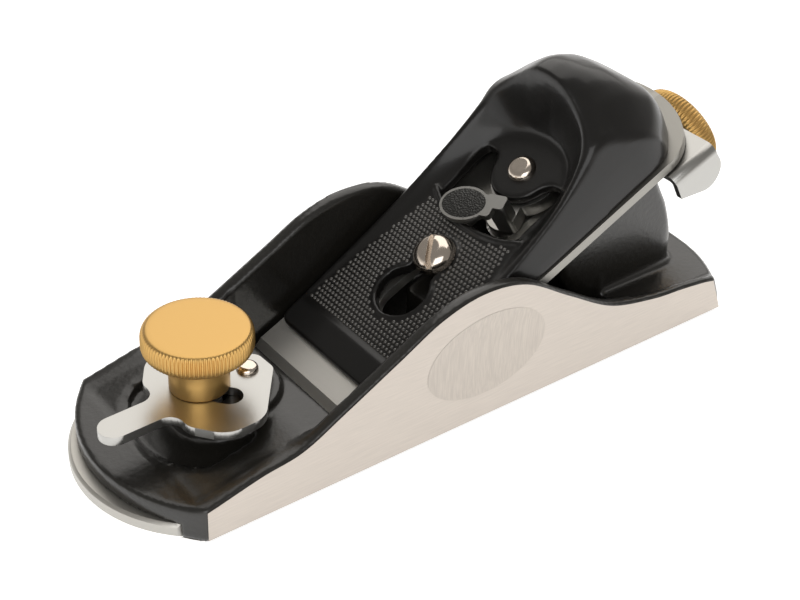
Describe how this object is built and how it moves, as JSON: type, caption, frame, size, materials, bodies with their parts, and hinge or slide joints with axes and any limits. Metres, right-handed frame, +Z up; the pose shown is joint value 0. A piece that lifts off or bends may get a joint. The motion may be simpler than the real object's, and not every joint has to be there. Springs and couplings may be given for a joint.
{
  "type": "block plane",
  "caption": "Low-angle adjustable-mouth block plane: ground iron body, bevel-up cutter, black lever cap with cam lock, brass front knob and depth wheel.",
  "frame": {"origin": "centre of the footprint on the sole plane, at the middle of the overall length", "axes": "+X from heel to toe (direction of the cut), +Y to the left side, +Z up from the sole"},
  "size_m": [0.1655, 0.05, 0.0635],
  "materials": {
    "body_enamel": "satin",
    "ground_iron": "ground",
    "knob_brass": "satin",
    "wheel_brass": "satin",
    "machined_steel": "machined",
    "plated_steel": "bright plated",
    "nickel": "polished",
    "cutter_steel": "ground",
    "cap_enamel": "gloss"
  },
  "bodies": {
    "body": {"body_casting": "body_enamel", "eccentric_rivet": "nickel"},
    "toe_slide": {"toe_plate": "ground_iron"},
    "knob": {"front_knob": "knob_brass", "front_knob_stud": "machined_steel"},
    "eccentric": {"eccentric_lever": "plated_steel"},
    "cap_screw": {"lever_cap_screw": "nickel"},
    "cap": {"lever_cap": "cap_enamel", "cam_rivet": "nickel"},
    "cam": {"cam_lever": "plated_steel"},
    "carriage": {"adjuster_slide": "machined_steel", "lateral_pivot": "machined_steel"},
    "depth_drive": {"depth_wheel": "wheel_brass", "depth_screw": "machined_steel", "depth_screw_clip": "machined_steel"},
    "lateral": {"lateral_lever": "plated_steel", "lateral_disc": "machined_steel", "disc_rivet": "machined_steel"},
    "blade": {"cutter": "cutter_steel"}
  },
  "joints": [
    {"name": "toe_plate_slide", "type": "slide", "parent": "body", "child": "toe_slide", "axis": [1, 0, 0], "range_m": [-0.0013, 0]},
    {"name": "eccentric_turn", "type": "hinge", "parent": "body", "child": "eccentric", "pos_m": [0.04625, 0.001, 0.0152], "axis": [0, 0, 1], "range_deg": [-42, 0]},
    {"name": "knob_turn", "type": "hinge", "parent": "toe_slide", "child": "knob", "pos_m": [0.05686, 0, 0.02], "axis": [0, 0, 1], "continuous": true},
    {"name": "cap_screw_turn", "type": "hinge", "parent": "body", "child": "cap_screw", "pos_m": [-0.00261, 0, 0.02532], "axis": [0.5329, 0, 0.8462], "continuous": true},
    {"name": "cap_slide", "type": "slide", "parent": "body", "child": "cap", "axis": [-0.8462, 0, 0.5329], "range_m": [0, 0.0104]},
    {"name": "cam_turn", "type": "hinge", "parent": "cap", "child": "cam", "pos_m": [-0.02567, 0, 0.03984], "axis": [0.5329, 0, 0.8462], "range_deg": [0, 35]},
    {"name": "depth_slide", "type": "slide", "parent": "body", "child": "carriage", "axis": [-0.8973, 0, 0.4415], "range_m": [-0.001, 0.0025]},
    {"name": "depth_wheel_turn", "type": "hinge", "parent": "carriage", "child": "depth_drive", "pos_m": [-0.07515, 0, 0.03553], "axis": [-0.8973, 0, 0.4415], "range_deg": [-360, 900]},
    {"name": "cutter_skew", "type": "hinge", "parent": "carriage", "child": "blade", "pos_m": [0.01535, 0, 0.00883], "axis": [0.4415, 0, 0.8973], "range_deg": [-1.5, 1.5]},
    {"name": "lateral_turn", "type": "hinge", "parent": "carriage", "child": "lateral", "pos_m": [-0.03399, 0, 0.03311], "axis": [0.4415, 0, 0.8973], "range_deg": [-6, 6]}
  ],
  "couplings": [
    {"joint": "eccentric_turn", "follows": "toe_plate_slide", "rad_per_m": 563.82},
    {"joint": "depth_wheel_turn", "follows": "depth_slide", "rad_per_m": 6283.1},
    {"joint": "lateral_turn", "follows": "cutter_skew", "ratio": -4}
  ]
}
